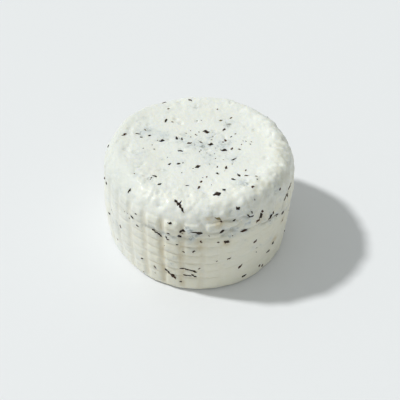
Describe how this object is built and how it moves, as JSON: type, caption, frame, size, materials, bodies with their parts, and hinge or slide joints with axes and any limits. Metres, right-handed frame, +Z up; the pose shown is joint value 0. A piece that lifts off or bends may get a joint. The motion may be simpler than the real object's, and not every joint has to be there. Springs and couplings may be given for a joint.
{
  "type": "truffle caciotta",
  "caption": "Small round fresh cheese with a ribbed basket-moulded wall, a lumpy shoulder, a softly dished top and black truffle flecks.",
  "frame": {"origin": "centre of the flat base the cheese rests on", "axes": "+Z up out of the dished top; -Y is the front, where the wall's windows and seam show most"},
  "size_m": [0.1132, 0.1106, 0.0679],
  "materials": {
    "skin": "moist satin"
  },
  "bodies": {
    "root": {"cheese": "skin"}
  },
  "joints": []
}
